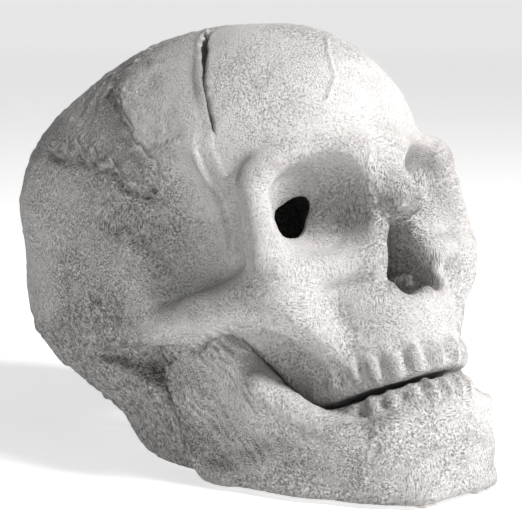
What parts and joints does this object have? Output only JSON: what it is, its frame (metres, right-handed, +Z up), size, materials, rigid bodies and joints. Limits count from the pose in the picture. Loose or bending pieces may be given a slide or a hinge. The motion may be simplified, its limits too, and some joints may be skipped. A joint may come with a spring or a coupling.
{
  "type": "bubbling ornament",
  "caption": "Hollow cast skull ornament that leans back on its jaw, lifts off a base tray with check valve, tap, riser and air stone, and lets bubbles out of its openings.",
  "frame": {"origin": "middle of the footprint, on the surface that the ornament stands on", "axes": "+Z up; the face looks towards -Y; +X is the skull's own left side"},
  "size_m": [0.14, 0.2255, 0.1742],
  "materials": {
    "cast_ceramic": "unglazed rough refractory casting, warm light grey, brushed and pitted",
    "dowel_steel": "stainless pin",
    "pad_rubber": "soft warm grey",
    "tray_plastic": "fine moulded texture, dark grey",
    "seal_rubber": "black",
    "screw_steel": "stainless",
    "ballast_stone": "sawn slate",
    "fitting_plastic": "moulded light grey",
    "hose_silicone": "translucent silicone",
    "knob_plastic": "blue",
    "stone_grit": "bonded mineral grit"
  },
  "bodies": {
    "root": {"base_tray": "tray_plastic", "tray_cover": "tray_plastic", "cover_seal": "seal_rubber", "cover_screw_1": "screw_steel", "cover_screw_2": "screw_steel", "cover_screw_3": "screw_steel", "cover_screw_4": "screw_steel", "tray_foot_1": "pad_rubber", "tray_foot_2": "pad_rubber", "tray_foot_3": "pad_rubber", "tray_foot_4": "pad_rubber", "ballast_plate": "ballast_stone", "inlet_spigot": "fitting_plastic", "inlet_washer": "seal_rubber", "inlet_nut": "fitting_plastic", "check_valve_inlet": "fitting_plastic", "check_valve_outlet": "fitting_plastic", "air_hose": "hose_silicone", "valve_body": "fitting_plastic", "valve_nut": "fitting_plastic", "riser_tube": "fitting_plastic", "riser_grommet": "seal_rubber", "stone_cup": "fitting_plastic"},
    "skull": {"cranium_shell": "cast_ceramic", "lower_jaw": "cast_ceramic", "jaw_dowel_left": "dowel_steel", "jaw_dowel_right": "dowel_steel", "neck_pad_left": "pad_rubber", "neck_pad_right": "pad_rubber", "chin_pad_left": "pad_rubber", "chin_pad_right": "pad_rubber"},
    "tap": {"valve_stem": "fitting_plastic", "stem_oring": "seal_rubber", "valve_knob": "knob_plastic"},
    "check": {"check_disc": "seal_rubber"},
    "stone": {"air_stone": "stone_grit", "stone_nipple": "fitting_plastic"}
  },
  "joints": [
    {"name": "shell_lift", "type": "slide", "parent": "root", "child": "skull", "axis": [0, 0, 1], "range_m": [0, 0.18]},
    {"name": "tap_turn", "type": "hinge", "parent": "root", "child": "tap", "pos_m": [0.0095, 0.031, 0.016], "axis": [0, 1, 0], "range_deg": [0, 90]},
    {"name": "check_slide", "type": "slide", "parent": "root", "child": "check", "axis": [0, -1, 0], "range_m": [0, 0.0008]},
    {"name": "stone_lift", "type": "slide", "parent": "root", "child": "stone", "axis": [0, 0, 1], "range_m": [0, 0.03]}
  ]
}
